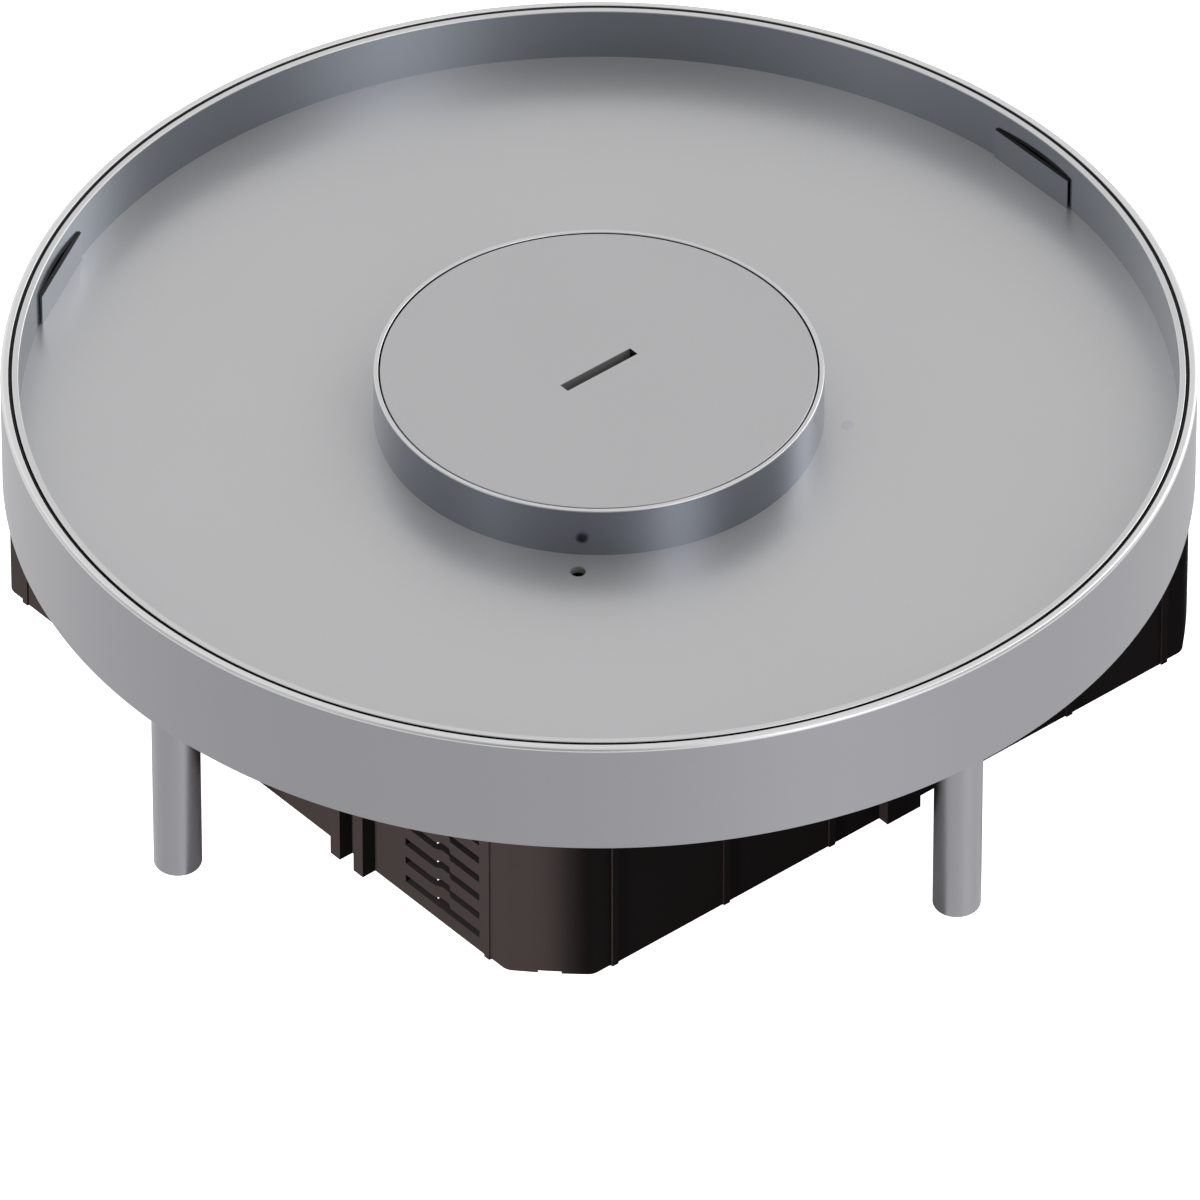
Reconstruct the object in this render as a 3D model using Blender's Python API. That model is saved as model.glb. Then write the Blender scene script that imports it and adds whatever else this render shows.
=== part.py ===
"""Round levelling floor outlet with a central tube outlet.

Frame: +Z up, origin on the vertical centre line at the foot plane, metres.
X runs across the louvred sides of the carrier, Y across its plain sides.
Heights in the constants are measured down from the trim ring's top edge.
"""
import math

import bmesh
import bpy
from mathutils import Matrix, Vector

MM = 0.001

# ---------------------------------------------------------------- driving dimensions (mm)
TOTAL_HEIGHT = 88.8          # foot plane to the top of the trim ring, legs as stored
RING_OUTER_R = 153.0
RING_WALL = 1.7
RING_HEIGHT = 32.3
RING_EDGE_R = 0.9
SEAT_INNER_R = 146.5
SEAT_DEPTH = 17.3
SEAT_THICK = 2.0
CLEAR = 0.3                  # gap kept between neighbouring pieces

SEAL_THICK = 0.7
SEAL_DROP = 0.5
SEAL_HEIGHT = 5.5

LID_RIM_R = 150.0
LID_RIM_WALL = 1.7
RECESS_DEPTH = 15.0
TRAY_THICK = 2.0
LIFT_TAB_COUNT = 3
LIFT_TAB_HALF_ANGLE = 5.5    # degrees
LIFT_TAB_TOP = 6.0           # below the rim
LIFT_TAB_FACE_X = 146.9
LIFT_TAB_THICK = 1.1
TRAY_HOLE_PITCH_R = 64.5
TRAY_HOLE_R = 2.0
TRAY_HOLE_ANGLE = 225.0

STIFF_INNER_R = 68.0
STIFF_OUTER_R = 109.0
STIFF_DROP = 6.5

TUBE_R = 57.7
TUBE_WALL = 1.3
TUBE_TOP = 0.8
TUBE_BOTTOM = 24.0
INSERT_R = 56.0
INSERT_BORE_R = 53.8
INSERT_TOP = 2.7
LEDGE_R = 48.5
LEDGE_TOP = 11.0
LEDGE_THICK = 2.5

CAP_R = 56.0
CAP_THICK = 1.6
COIN_SLOT_LENGTH = 23.4
COIN_SLOT_WIDTH = 3.0
COIN_SLOT_DEPTH = 4.4
HUB_R = 14.0
HUB_DEPTH = 7.0
BASE_R = 53.4
BASE_TOP = 2.8
BASE_BOTTOM = 10.7
BASE_STEP = 8.6
SPIGOT_R = 49.9
ORING_R = 0.85
LOCK_RING_IN = 50.3
DRIVE_LUG_OUT = 52.2
DRIVE_LUG_W = 10.0

LEG_PITCH_R = 140.6
LEG_R = 6.2
LEG_TOP = 28.0
LEG_BORE_R = 3.4
LEG_FLOOR = 7.0
SPINDLE_R = 3.0
SPINDLE_END = 78.0
SPINDLE_HEAD_R = 4.8
SPINDLE_HEAD_TOP = 20.2
SPINDLE_HEAD_H = 4.0
BRACKET_TOP = 19.6
BRACKET_H = 8.0
BRACKET_IN = 130.0
BRACKET_OUT = 149.4
BRACKET_W = 28.0

BOX_HALF = 115.0
BOX_CORNER_R = 151.6
NECK_HALF = 114.4
NECK_CORNER_R = 150.4
NECK_TOP = 19.9
BOX_TOP = 32.7
BOX_BOTTOM = 75.0
BOX_WALL = 3.0
LOUVRE_FROM = 60.0
LOUVRE_TO = 89.0
LOUVRE_ROWS = 6
LOUVRE_PITCH = 6.07
LOUVRE_HEIGHT = 2.3
LOUVRE_LOWEST = 69.5
FLUTE_FROM = 71.5
FLUTE_TO = 77.5
FLUTE_DEPTH = 1.0
VENT_GROOVE_AT = 69.7
VENT_GROOVE_W = 1.6
VENT_GROOVE_DEPTH = 1.2
POST_SPANS = ((35.1, 38.8), (44.2, 47.9))
POST_DEPTH = 4.1
GUIDE_SPAN = (-4.0, 7.1)
GUIDE_DEPTH = 3.2
RIB_PLACES = (-92.4, -55.4, -20.2, 60.0, 92.4)
SIDE_RIB = 92.4
RIB_W = 2.0
RIB_DEPTH = 0.5
CARRIER_BOSS_PITCH_R = 139.0
CARRIER_BOSS_R = 6.5
CARRIER_BOSS_BOTTOM = 29.0
CARRIER_SCREW_R = 2.0
CARRIER_SCREW_HEAD_R = 3.8

BAR_Y = 36.75
BAR_THICK = 2.4
BAR_TOP = 54.3
BAR_BOTTOM = 72.0
CUP_HALF_X = 86.0
CUP_TOP = 52.0
CUP_BOTTOM = 80.0
CUP_WALL = 2.0
CUP_ROWS = ((-108.0, -39.2), (-34.6, 34.6), (39.2, 108.0))
CUP_LIP = 1.4
COVER_THICK = 2.0
COVER_MARGIN = 1.0
COVER_SCREW_X = 78.0
COVER_SCREW_R = 1.5
COVER_SCREW_HEAD_R = 3.0

SEG_BIG = 72
SEG_MID = 48
SEG_LEG = 20
SEG_SMALL = 12


# ---------------------------------------------------------------- helpers
def clear_scene():
    for obj in list(bpy.data.objects):
        bpy.data.objects.remove(obj, do_unlink=True)


def z_at(depth):
    """Height in mm of a level given as a depth below the trim ring's top."""
    return TOTAL_HEIGHT - depth


def material(name, colour, roughness, metallic):
    mat = bpy.data.materials.get(name)
    if mat is None:
        mat = bpy.data.materials.new(name)
        mat.use_nodes = True
        bsdf = mat.node_tree.nodes["Principled BSDF"]
        bsdf.inputs["Base Color"].default_value = (*colour, 1.0)
        bsdf.inputs["Roughness"].default_value = roughness
        bsdf.inputs["Metallic"].default_value = metallic
    return mat


def new_object(name, bm, mat=None, location=(0.0, 0.0, 0.0), angle=0.0, parent=None, sharp=30.0):
    bmesh.ops.recalc_face_normals(bm, faces=bm.faces)
    mesh = bpy.data.meshes.new(name)
    bm.to_mesh(mesh)
    bm.free()
    mesh.shade_smooth()
    mesh.set_sharp_from_angle(angle=math.radians(sharp))
    obj = bpy.data.objects.new(name, mesh)
    bpy.context.scene.collection.objects.link(obj)
    obj.location = [c * MM for c in location]
    obj.rotation_euler = (0.0, 0.0, math.radians(angle))
    if mat is not None:
        mesh.materials.append(mat)
    if parent is not None:
        obj.parent = parent
    return obj


def empty(name, location):
    obj = bpy.data.objects.new(name, None)
    obj.location = [c * MM for c in location]
    bpy.context.scene.collection.objects.link(obj)
    return obj


def lathe(profile, segments):
    """Closed solid turned about Z from a closed (radius, z) outline in mm."""
    bm = bmesh.new()
    rings = []
    for radius, z in profile:
        if radius < 1e-6:
            rings.append([bm.verts.new((0.0, 0.0, z * MM))])
            continue
        ring = []
        for i in range(segments):
            a = 2.0 * math.pi * i / segments
            ring.append(bm.verts.new((radius * math.cos(a) * MM, radius * math.sin(a) * MM, z * MM)))
        rings.append(ring)
    count = len(rings)
    for k in range(count):
        lower, upper = rings[k], rings[(k + 1) % count]
        if len(lower) == 1 and len(upper) == 1:
            continue
        for i in range(segments):
            j = (i + 1) % segments
            if len(lower) == 1:
                bm.faces.new((lower[0], upper[j], upper[i]))
            elif len(upper) == 1:
                bm.faces.new((lower[i], lower[j], upper[0]))
            else:
                bm.faces.new((lower[i], lower[j], upper[j], upper[i]))
    return bm


def prism(outline, z0, z1):
    """Closed solid between two levels over a 2-D outline in mm."""
    bm = bmesh.new()
    low = [bm.verts.new((x * MM, y * MM, z0 * MM)) for x, y in outline]
    face = bm.faces.new(low)
    grown = bmesh.ops.extrude_face_region(bm, geom=[face])
    moved = [g for g in grown["geom"] if isinstance(g, bmesh.types.BMVert)]
    bmesh.ops.translate(bm, verts=moved, vec=Vector((0.0, 0.0, (z1 - z0) * MM)))
    return bm


def block(x0, x1, y0, y1, z0, z1):
    return prism([(x0, y0), (x1, y0), (x1, y1), (x0, y1)], z0, z1)


def rod(radius, z0, z1, segments, x=0.0, y=0.0):
    pts = []
    for i in range(segments):
        a = 2.0 * math.pi * i / segments
        pts.append((x + radius * math.cos(a), y + radius * math.sin(a)))
    return prism(pts, z0, z1)


def merge_into(target, *others):
    """Add the faces of further meshes to one bmesh, used for groups of separate cutters."""
    for other in others:
        mesh = bpy.data.meshes.new("tmp")
        other.to_mesh(mesh)
        other.free()
        target.from_mesh(mesh)
        bpy.data.meshes.remove(mesh)
    return target


def operand(target, name, bm, operation):
    """Keep a hidden helper solid and use it on the target with an exact Boolean."""
    tool = new_object(name, bm)
    tool.hide_render = True
    tool.display_type = "WIRE"
    tool.parent = target.parent
    tool.location = target.location
    tool.rotation_euler = target.rotation_euler
    mod = target.modifiers.new(name, "BOOLEAN")
    mod.operation = operation
    mod.solver = "EXACT"
    mod.object = tool
    return tool


def cut(target, name, bm):
    return operand(target, name, bm, "DIFFERENCE")


def join(target, name, bm):
    return operand(target, name, bm, "UNION")


def rotated(bm, degrees):
    bmesh.ops.rotate(bm, verts=bm.verts, cent=(0.0, 0.0, 0.0),
                     matrix=Matrix.Rotation(math.radians(degrees), 3, "Z"))
    return bm


def trimmed_square(half, corner_r, arc_steps):
    """Square outline whose corners are trimmed to a circle, counter-clockwise."""
    start = math.degrees(math.acos(half / corner_r))
    points = []
    for quarter in range(4):
        for step in range(arc_steps + 1):
            a = math.radians(90.0 * quarter + start + (90.0 - 2.0 * start) * step / arc_steps)
            points.append((corner_r * math.cos(a), corner_r * math.sin(a)))
    return points


def loft(levels):
    """Closed tube through a loop of outlines, each (outline, z), first joined to last."""
    bm = bmesh.new()
    rings = [[bm.verts.new((x * MM, y * MM, z * MM)) for x, y in outline] for outline, z in levels]
    count = len(rings)
    for k in range(count):
        a, b = rings[k], rings[(k + 1) % count]
        n = len(a)
        for i in range(n):
            bm.faces.new((a[i], a[(i + 1) % n], b[(i + 1) % n], b[i]))
    return bm


def quarter_round(cx, cz, radius, steps, start, end):
    """Points of a rounded edge in a turned outline."""
    pts = []
    for i in range(steps + 1):
        a = math.radians(start + (end - start) * i / steps)
        pts.append((cx + radius * math.cos(a), cz + radius * math.sin(a)))
    return pts


# ---------------------------------------------------------------- materials
clear_scene()
STEEL = dict(colour=(0.60, 0.60, 0.61), roughness=0.32, metallic=1.0)
ZINC = dict(colour=(0.50, 0.50, 0.52), roughness=0.38, metallic=1.0)
BLACK = dict(colour=(0.020, 0.018, 0.018), roughness=0.55, metallic=0.0)
RUBBER = dict(colour=(0.012, 0.012, 0.013), roughness=0.8, metallic=0.0)
GREY = dict(colour=(0.18, 0.18, 0.19), roughness=0.5, metallic=0.0)


# ---------------------------------------------------------------- trim ring with its lid seat
inner_r = RING_OUTER_R - RING_WALL
outline = [(inner_r, z_at(0.0))]
outline += quarter_round(RING_OUTER_R - RING_EDGE_R, z_at(RING_EDGE_R), RING_EDGE_R, 2, 90.0, 0.0)
outline += [(RING_OUTER_R, z_at(RING_HEIGHT))]
outline += [(inner_r, z_at(RING_HEIGHT)), (inner_r, z_at(SEAT_DEPTH + SEAT_THICK))]
outline += [(SEAT_INNER_R, z_at(SEAT_DEPTH + SEAT_THICK)), (SEAT_INNER_R, z_at(SEAT_DEPTH))]
outline += [(inner_r, z_at(SEAT_DEPTH))]
trim_ring = new_object("trim_ring", lathe(outline, SEG_BIG), material("trim_ring", **STEEL))
ears = bmesh.new()
for k in range(4):
    ear = block(CARRIER_BOSS_PITCH_R - 6.0, 149.0, -8.0, 8.0,
                z_at(SEAT_DEPTH + SEAT_THICK), z_at(SEAT_DEPTH))
    merge_into(ears, rotated(ear, 45.0 + 90.0 * k))
join(trim_ring, "tool_seat_ears", ears)
ear_holes = bmesh.new()
for k in range(4):
    hole = rod(CARRIER_SCREW_R + CLEAR, z_at(SEAT_DEPTH + SEAT_THICK + 1.0), z_at(SEAT_DEPTH - 1.0),
               SEG_SMALL, x=CARRIER_BOSS_PITCH_R)
    merge_into(ear_holes, rotated(hole, 45.0 + 90.0 * k))
cut(trim_ring, "tool_ear_holes", ear_holes)

# ---------------------------------------------------------------- rubber seal between ring and lid
seal_out = inner_r - CLEAR
seal_in = seal_out - SEAL_THICK
outline = [(seal_in, z_at(SEAL_DROP)), (seal_out, z_at(SEAL_DROP))]
outline += [(seal_out, z_at(SEAL_DROP + SEAL_HEIGHT)), (seal_in, z_at(SEAL_DROP + SEAL_HEIGHT))]
new_object("lid_seal", lathe(outline, SEG_BIG), material("lid_seal", **RUBBER))

# ---------------------------------------------------------------- lid: tray for the floor covering
lid_anchor = empty("lid_axis", (0.0, 0.0, 0.0))
rim_in = LID_RIM_R - LID_RIM_WALL
tray_hole = TUBE_R + CLEAR
outline = [(rim_in, z_at(0.0)), (LID_RIM_R - 0.2, z_at(0.0))]
outline += [(LID_RIM_R, z_at(0.2)), (LID_RIM_R, z_at(RECESS_DEPTH + TRAY_THICK))]
outline += [(tray_hole, z_at(RECESS_DEPTH + TRAY_THICK)), (tray_hole, z_at(RECESS_DEPTH))]
outline += [(rim_in, z_at(RECESS_DEPTH))]
lid_tray = new_object("lid_tray", lathe(outline, SEG_BIG), material("lid_tray", **STEEL), parent=lid_anchor)
half_w = rim_in * math.sin(math.radians(LIFT_TAB_HALF_ANGLE))
windows = bmesh.new()
tabs = bmesh.new()
for k in range(LIFT_TAB_COUNT):
    turn = 360.0 * k / LIFT_TAB_COUNT
    window = block(rim_in - 4.0, LID_RIM_R + 1.0, -half_w - 0.6, half_w + 0.6,
                   z_at(RECESS_DEPTH - 0.6), z_at(LIFT_TAB_TOP - 0.2))
    merge_into(windows, rotated(window, turn))
    tab = block(LIFT_TAB_FACE_X, LIFT_TAB_FACE_X + LIFT_TAB_THICK, -half_w, half_w,
                z_at(RECESS_DEPTH + 0.8), z_at(LIFT_TAB_TOP))
    merge_into(tabs, rotated(tab, turn))
cut(lid_tray, "tool_tab_windows", windows)
join(lid_tray, "tool_lift_tabs", tabs)
small_hole = rod(TRAY_HOLE_R, z_at(RECESS_DEPTH + TRAY_THICK + 1.0), z_at(RECESS_DEPTH - 1.0),
                 SEG_SMALL, x=TRAY_HOLE_PITCH_R)
cut(lid_tray, "tool_tray_hole", rotated(small_hole, TRAY_HOLE_ANGLE))

# ---------------------------------------------------------------- lid stiffening pan
pan_top = RECESS_DEPTH + TRAY_THICK + CLEAR
outline = [(STIFF_INNER_R, z_at(pan_top)), (STIFF_OUTER_R, z_at(pan_top))]
outline += [(STIFF_OUTER_R, z_at(pan_top + STIFF_DROP)), (STIFF_OUTER_R - 2.0, z_at(pan_top + STIFF_DROP))]
outline += [(STIFF_OUTER_R - 2.0, z_at(pan_top + 2.0)), (STIFF_INNER_R + 2.0, z_at(pan_top + 2.0))]
outline += [(STIFF_INNER_R + 2.0, z_at(pan_top + STIFF_DROP)), (STIFF_INNER_R, z_at(pan_top + STIFF_DROP))]
new_object("lid_stiffener", lathe(outline, SEG_MID), material("lid_stiffener", **ZINC), parent=lid_anchor)

# ---------------------------------------------------------------- central tube
tube_in = TUBE_R - TUBE_WALL
flange_top = RECESS_DEPTH + TRAY_THICK + CLEAR
outline = [(tube_in, z_at(TUBE_TOP)), (TUBE_R - 0.2, z_at(TUBE_TOP)), (TUBE_R, z_at(TUBE_TOP + 0.2))]
outline += [(TUBE_R, z_at(flange_top)), (61.5, z_at(flange_top)), (61.5, z_at(flange_top + 2.0))]
outline += [(TUBE_R, z_at(flange_top + 2.0)), (TUBE_R, z_at(TUBE_BOTTOM)), (tube_in, z_at(TUBE_BOTTOM))]
new_object("tube_collar", lathe(outline, SEG_MID), material("tube_collar", **STEEL), parent=lid_anchor)

outline = [(INSERT_BORE_R, z_at(INSERT_TOP)), (INSERT_R, z_at(INSERT_TOP)), (INSERT_R, z_at(TUBE_BOTTOM))]
outline += [(INSERT_BORE_R, z_at(TUBE_BOTTOM)), (INSERT_BORE_R, z_at(LEDGE_TOP + LEDGE_THICK))]
outline += [(LEDGE_R, z_at(LEDGE_TOP + LEDGE_THICK)), (LEDGE_R, z_at(LEDGE_TOP))]
outline += [(INSERT_BORE_R, z_at(LEDGE_TOP))]
new_object("tube_insert", lathe(outline, SEG_MID), material("tube_insert", **BLACK), parent=lid_anchor)

# ---------------------------------------------------------------- cap: slotted plate, base, ring, lock ring
cap_anchor = empty("cap_axis", (0.0, 0.0, 0.0))
outline = [(0.0, z_at(TUBE_TOP + 0.1)), (CAP_R - 0.2, z_at(TUBE_TOP + 0.1)), (CAP_R, z_at(TUBE_TOP + 0.3))]
outline += [(CAP_R, z_at(TUBE_TOP + CAP_THICK)), (HUB_R, z_at(TUBE_TOP + CAP_THICK)), (HUB_R, z_at(HUB_DEPTH))]
outline += [(0.0, z_at(HUB_DEPTH))]
cap_plate = new_object("cap_plate", lathe(outline, SEG_MID), material("cap_plate", **STEEL), parent=cap_anchor)
slot = block(-COIN_SLOT_LENGTH / 2.0, COIN_SLOT_LENGTH / 2.0, -COIN_SLOT_WIDTH / 2.0, COIN_SLOT_WIDTH / 2.0,
             z_at(TUBE_TOP + COIN_SLOT_DEPTH), z_at(TUBE_TOP - 1.0))
cut(cap_plate, "tool_coin_slot", slot)

outline = [(0.0, z_at(HUB_DEPTH + CLEAR)), (HUB_R + CLEAR, z_at(HUB_DEPTH + CLEAR))]
outline += [(HUB_R + CLEAR, z_at(BASE_TOP)), (BASE_R, z_at(BASE_TOP)), (BASE_R, z_at(5.2))]
outline += [(51.4, z_at(5.2)), (51.4, z_at(7.6)), (BASE_R, z_at(7.6)), (BASE_R, z_at(BASE_STEP))]
outline += [(SPIGOT_R, z_at(BASE_STEP)), (SPIGOT_R, z_at(BASE_BOTTOM)), (0.0, z_at(BASE_BOTTOM))]
cap_base = new_object("cap_base", lathe(outline, SEG_MID), material("cap_base", **BLACK), parent=cap_anchor)
lugs = bmesh.new()
notches = bmesh.new()
for sign in (-1.0, 1.0):
    x0, x1 = sorted((sign * (SPIGOT_R - 1.5), sign * DRIVE_LUG_OUT))
    merge_into(lugs, block(x0, x1, -DRIVE_LUG_W / 2.0, DRIVE_LUG_W / 2.0,
                           z_at(BASE_BOTTOM - 0.1), z_at(BASE_STEP - 0.4)))
    x0, x1 = sorted((sign * (LOCK_RING_IN - 1.0), sign * (DRIVE_LUG_OUT + 0.4)))
    merge_into(notches, block(x0, x1, -DRIVE_LUG_W / 2.0 - 0.5, DRIVE_LUG_W / 2.0 + 0.5,
                              z_at(LEDGE_TOP + 1.0), z_at(BASE_STEP - 1.0)))
join(cap_base, "tool_drive_lugs", lugs)

ring_mid = 52.6
outline = quarter_round(ring_mid, z_at(6.4), ORING_R, 5, 0.0, -300.0)
new_object("cap_oring", lathe(outline, SEG_MID), material("cap_oring", **RUBBER), parent=cap_anchor)

outline = [(LOCK_RING_IN, z_at(BASE_STEP + CLEAR)), (BASE_R, z_at(BASE_STEP + CLEAR))]
outline += [(BASE_R, z_at(LEDGE_TOP - CLEAR)), (LOCK_RING_IN, z_at(LEDGE_TOP - CLEAR))]
lock_ring = new_object("lock_ring", lathe(outline, SEG_MID), material("lock_ring", **GREY), parent=lid_anchor)
cut(lock_ring, "tool_lock_notches", notches)

# ---------------------------------------------------------------- four levelling legs
for k in range(4):
    turn = 90.0 * k
    px = LEG_PITCH_R * math.cos(math.radians(turn))
    py = LEG_PITCH_R * math.sin(math.radians(turn))
    leg_axis = empty("leg_axis_%d" % (k + 1), (px, py, 0.0))
    leg_axis.rotation_euler = (0.0, 0.0, math.radians(turn))

    z0, z1 = z_at(BRACKET_TOP + BRACKET_H), z_at(BRACKET_TOP)
    bracket = new_object("leg_bracket_%d" % (k + 1),
                         block(BRACKET_IN - LEG_PITCH_R, BRACKET_OUT - LEG_PITCH_R,
                               -BRACKET_W / 2.0, BRACKET_W / 2.0, z0, z1),
                         material("leg_bracket", **ZINC), parent=leg_axis)
    bore = lathe([(0.0, z0 - 1.0), (SPINDLE_R + CLEAR, z0 - 1.0),
                  (SPINDLE_R + CLEAR, z_at(SPINDLE_HEAD_TOP + SPINDLE_HEAD_H + CLEAR)),
                  (SPINDLE_HEAD_R + CLEAR, z_at(SPINDLE_HEAD_TOP + SPINDLE_HEAD_H + CLEAR)),
                  (SPINDLE_HEAD_R + CLEAR, z1 + 1.0), (0.0, z1 + 1.0)], SEG_SMALL)
    cut(bracket, "tool_bracket_bore_%d" % (k + 1), bore)

    head_low = z_at(SPINDLE_HEAD_TOP + SPINDLE_HEAD_H)
    spindle = new_object("leg_spindle_%d" % (k + 1),
                         lathe([(0.0, z_at(SPINDLE_HEAD_TOP)), (SPINDLE_HEAD_R, z_at(SPINDLE_HEAD_TOP)),
                                (SPINDLE_HEAD_R, head_low), (SPINDLE_R, head_low),
                                (SPINDLE_R, z_at(SPINDLE_END)), (0.0, z_at(SPINDLE_END))], SEG_SMALL),
                         material("leg_spindle", **ZINC), parent=leg_axis)
    cut(spindle, "tool_spindle_slot_%d" % (k + 1),
        block(-0.6, 0.6, -6.0, 6.0, z_at(SPINDLE_HEAD_TOP + 1.6), z_at(SPINDLE_HEAD_TOP - 1.0)))

    foot_outline = [(LEG_BORE_R, z_at(LEG_TOP)), (LEG_R, z_at(LEG_TOP))]
    foot_outline += quarter_round(LEG_R - 1.0, 1.0, 1.0, 2, 0.0, -90.0)
    foot_outline += [(0.0, 0.0), (0.0, LEG_FLOOR), (LEG_BORE_R, LEG_FLOOR)]
    new_object("leg_foot_%d" % (k + 1), lathe(foot_outline, SEG_LEG), material("leg_foot", **ZINC),
               parent=leg_axis)

# ---------------------------------------------------------------- louvred device carrier
arc = 2
inner_half = BOX_HALF - BOX_WALL
inner_corner = NECK_CORNER_R - BOX_WALL
shell = loft([
    (trimmed_square(NECK_HALF, NECK_CORNER_R, arc), z_at(NECK_TOP)),
    (trimmed_square(inner_half, inner_corner, arc), z_at(NECK_TOP)),
    (trimmed_square(inner_half, inner_corner, arc), z_at(BOX_BOTTOM)),
    (trimmed_square(BOX_HALF, BOX_CORNER_R, arc), z_at(BOX_BOTTOM)),
    (trimmed_square(BOX_HALF, BOX_CORNER_R, arc), z_at(BOX_TOP)),
    (trimmed_square(NECK_HALF, NECK_CORNER_R, arc), z_at(BOX_TOP)),
])
carrier = new_object("carrier_frame", shell, material("carrier_frame", **BLACK))

additions = bmesh.new()
z_low, z_high = z_at(BOX_BOTTOM - 0.1), z_at(BOX_TOP + 0.1)
for turn in (0.0, 180.0):
    for near, far in POST_SPANS:
        for sign in (1.0, -1.0):
            y0, y1 = sorted((sign * near, sign * far))
            post = block(-BOX_HALF - POST_DEPTH, -BOX_HALF + 1.5, y0, y1, z_low, z_high)
            merge_into(additions, rotated(post, turn))
    for sign in (1.0, -1.0):
        rib = block(-BOX_HALF - RIB_DEPTH, -BOX_HALF + 1.5, sign * SIDE_RIB - RIB_W / 2.0,
                    sign * SIDE_RIB + RIB_W / 2.0, z_low, z_high)
        merge_into(additions, rotated(rib, turn))
    for place in RIB_PLACES:
        rib = block(place - RIB_W / 2.0, place + RIB_W / 2.0, -BOX_HALF - RIB_DEPTH, -BOX_HALF + 1.5,
                    z_low, z_high)
        merge_into(additions, rotated(rib, turn))
    guide = block(GUIDE_SPAN[0], GUIDE_SPAN[1], -BOX_HALF - GUIDE_DEPTH, -BOX_HALF + 1.5, z_low, z_high)
    merge_into(additions, rotated(guide, turn))
    ledge = block(-CUP_HALF_X, CUP_HALF_X, -inner_half - 1.5, -inner_half + 2.6,
                  z_at(BAR_TOP + 3.0), z_at(BAR_TOP))
    merge_into(additions, rotated(ledge, turn))
    bar = block(-inner_half - 1.5, inner_half + 1.5, -BAR_Y - BAR_THICK / 2.0, -BAR_Y + BAR_THICK / 2.0,
                z_at(BAR_BOTTOM), z_at(BAR_TOP))
    merge_into(additions, rotated(bar, turn))
for k in range(4):
    boss = rod(CARRIER_BOSS_R, z_at(CARRIER_BOSS_BOTTOM), z_at(NECK_TOP + 0.1), SEG_SMALL,
               x=CARRIER_BOSS_PITCH_R)
    web = block(CARRIER_BOSS_PITCH_R, inner_corner + 1.5, -4.0, 4.0,
                z_at(CARRIER_BOSS_BOTTOM - 0.2), z_at(NECK_TOP + 0.2))
    merge_into(additions, rotated(boss, 45.0 + 90.0 * k))
    operand(carrier, "tool_boss_web_%d" % (k + 1), rotated(web, 45.0 + 90.0 * k), "UNION")
join(carrier, "tool_carrier_additions", additions)

removals = bmesh.new()
for side in (-1.0, 1.0):
    for sign in (1.0, -1.0):
        for row in range(LOUVRE_ROWS):
            z_mid = z_at(LOUVRE_LOWEST - row * LOUVRE_PITCH)
            y0, y1 = sorted((sign * LOUVRE_FROM, sign * LOUVRE_TO))
            x0, x1 = sorted((side * (inner_half - 1.0), side * (BOX_HALF + 1.0)))
            merge_into(removals, block(x0, x1, y0, y1, z_mid - LOUVRE_HEIGHT / 2.0, z_mid + LOUVRE_HEIGHT / 2.0))
for k in range(4):
    hole = rod(CARRIER_SCREW_R + CLEAR, z_at(CARRIER_BOSS_BOTTOM + 1.0), z_at(NECK_TOP - 1.0),
               SEG_SMALL, x=CARRIER_BOSS_PITCH_R)
    merge_into(removals, rotated(hole, 45.0 + 90.0 * k))
cut(carrier, "tool_louvres", removals)

grooves = bmesh.new()
for side in (-1.0, 1.0):
    for sign in (1.0, -1.0):
        y0, y1 = sorted((sign * FLUTE_FROM, sign * FLUTE_TO))
        x0, x1 = sorted((side * (BOX_HALF - FLUTE_DEPTH), side * (BOX_HALF + 1.0)))
        merge_into(grooves, block(x0, x1, y0, y1, z_at(LOUVRE_LOWEST + 3.0), z_high - 1.0))
cut(carrier, "tool_flutes", grooves)
inner_grooves = bmesh.new()
for side in (-1.0, 1.0):
    for sign in (1.0, -1.0):
        y_mid = sign * VENT_GROOVE_AT
        x0, x1 = sorted((side * (inner_half - 1.0), side * (inner_half + VENT_GROOVE_DEPTH)))
        merge_into(inner_grooves, block(x0, x1, y_mid - VENT_GROOVE_W / 2.0, y_mid + VENT_GROOVE_W / 2.0,
                                        z_at(LOUVRE_LOWEST + 2.5), z_high - 2.0))
cut(carrier, "tool_inner_grooves", inner_grooves)

for k in range(4):
    a = math.radians(45.0 + 90.0 * k)
    cx, cy = CARRIER_BOSS_PITCH_R * math.cos(a), CARRIER_BOSS_PITCH_R * math.sin(a)
    head_top = z_at(CARRIER_BOSS_BOTTOM + CLEAR)
    new_object("carrier_screw_%d" % (k + 1),
               lathe([(0.0, z_at(SEAT_DEPTH + 0.6)), (CARRIER_SCREW_R, z_at(SEAT_DEPTH + 0.6)),
                      (CARRIER_SCREW_R, head_top), (CARRIER_SCREW_HEAD_R, head_top),
                      (CARRIER_SCREW_HEAD_R, head_top - 3.0),
                      (0.0, head_top - 3.0)], SEG_SMALL),
               material("carrier_screw", **ZINC), location=(cx, cy, 0.0))

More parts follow.
